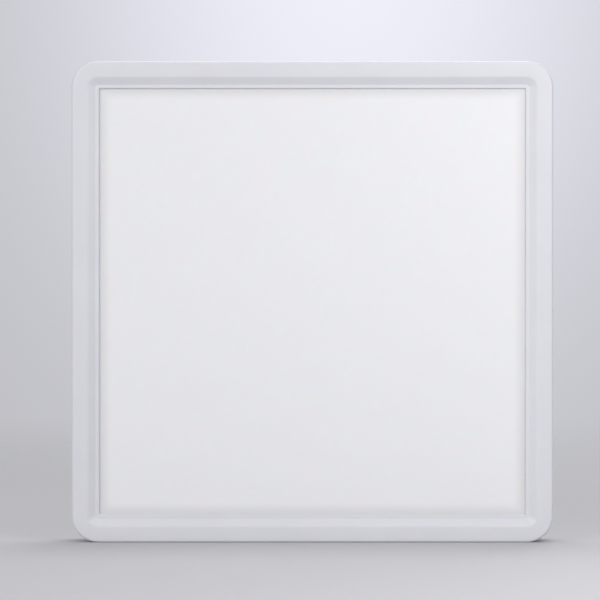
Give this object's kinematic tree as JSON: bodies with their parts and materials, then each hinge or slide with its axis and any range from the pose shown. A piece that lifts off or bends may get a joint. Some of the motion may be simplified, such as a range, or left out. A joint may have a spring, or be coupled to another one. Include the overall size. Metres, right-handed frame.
{
  "type": "flush mount ceiling light",
  "caption": "Slim square edge-lit flush ceiling light: stepped white frame, opal diffuser, driver and lever terminals behind, snapped onto a steel ceiling plate.",
  "frame": {"origin": "centre of the plate's box-screw slots, on the face that meets the ceiling; the light is stored standing on its lower edge, as it is seen in the picture", "axes": "+Y points into the ceiling (away from the room), the light shines along -Y, +X is to the right and +Z is up as seen from the room side; to hang it under a ceiling, turn the row so that +Y points up"},
  "size_m": [0.3, 0.03, 0.3],
  "materials": {
    "white_frame": "satin",
    "opal_sheet": "matte",
    "clear_acrylic": "polished",
    "white_film": "satin",
    "white_foam": "matte",
    "white_pan": "satin",
    "zinc_steel": "satin",
    "spring_steel": "polished",
    "rivet_steel": "satin",
    "zinc_screw": "polished",
    "green_screw": "satin",
    "white_board": "satin",
    "diode": "satin",
    "silicone": "matte",
    "white_wire": "satin",
    "black_wire": "satin",
    "red_wire": "satin",
    "green_wire": "satin",
    "grey_plastic": "matte",
    "black_plastic": "satin",
    "white_plastic": "satin",
    "orange_plastic": "satin",
    "yellow_plastic": "satin",
    "yellow_tape": "satin",
    "can_sleeve": "satin",
    "ferrite": "matte",
    "circuit_board": "satin",
    "copper": "satin",
    "tinned_copper": "satin",
    "black_rubber": "matte"
  },
  "bodies": {
    "ceiling_mount": {"mounting_plate": "zinc_steel", "right_spring_clip": "spring_steel", "left_spring_clip": "spring_steel", "clip_rivets": "rivet_steel", "ground_screw": "green_screw", "ground_washer": "zinc_steel"},
    "light_unit": {"bezel_frame": "white_frame", "diffuser": "opal_sheet", "light_guide": "clear_acrylic", "reflector_sheet": "white_film", "foam_pad": "white_foam", "rear_pan": "white_pan", "pan_screws": "zinc_screw", "guide_pads": "silicone", "board_link_wires": "white_wire", "right_catch_bracket": "zinc_steel", "left_catch_bracket": "zinc_steel", "catch_rivets": "rivet_steel", "driver_case": "grey_plastic", "driver_case_screws": "zinc_screw", "driver_lid": "white_pan", "driver_lid_screws": "zinc_screw", "driver_board": "circuit_board", "fuse": "black_plastic", "input_choke": "black_plastic", "film_capacitor": "yellow_plastic", "bulk_capacitors": "can_sleeve", "transformer_core": "ferrite", "transformer_coil": "yellow_tape", "output_capacitor": "can_sleeve", "driver_chips": "black_plastic", "selector_body": "black_plastic", "terminal_base": "grey_plastic", "terminal_base_screws": "zinc_screw", "terminal_block": "grey_plastic", "terminal_contacts": "copper", "supply_lead_wires": "black_wire", "supply_bushing": "black_plastic", "led_lead_wires": "red_wire", "pan_grommet": "black_rubber", "earth_wire": "green_wire", "earth_ring": "tinned_copper", "earth_screw": "green_screw", "top_led_board": "white_board", "top_leds": "diode", "left_led_board": "white_board", "left_leds": "diode", "bottom_led_board": "white_board", "bottom_leds": "diode", "right_led_board": "white_board", "right_leds": "diode"},
    "selector": {"selector_knob": "white_plastic"},
    "line_terminal_lever": {"line_terminal_lever": "orange_plastic"},
    "neutral_terminal_lever": {"neutral_terminal_lever": "orange_plastic"},
    "earth_terminal_lever": {"earth_terminal_lever": "orange_plastic"}
  },
  "joints": [
    {"name": "unit_snap_off", "type": "slide", "parent": "ceiling_mount", "child": "light_unit", "axis": [0, -1, 0], "range_m": [0, 0.05], "deforming": ["right_spring_clip", "left_spring_clip"]},
    {"name": "selector_slide", "type": "slide", "parent": "light_unit", "child": "selector", "axis": [1, 0, 0], "range_m": [0, 0.008]},
    {"name": "line_terminal_lever_swing", "type": "hinge", "parent": "light_unit", "child": "line_terminal_lever", "pos_m": [-0.0075, -0.0112, 0.006], "axis": [1, 0, 0], "range_deg": [0, 85]},
    {"name": "neutral_terminal_lever_swing", "type": "hinge", "parent": "light_unit", "child": "neutral_terminal_lever", "pos_m": [0, -0.0112, 0.006], "axis": [1, 0, 0], "range_deg": [0, 85]},
    {"name": "earth_terminal_lever_swing", "type": "hinge", "parent": "light_unit", "child": "earth_terminal_lever", "pos_m": [0.0075, -0.0112, 0.006], "axis": [1, 0, 0], "range_deg": [0, 85]}
  ]
}
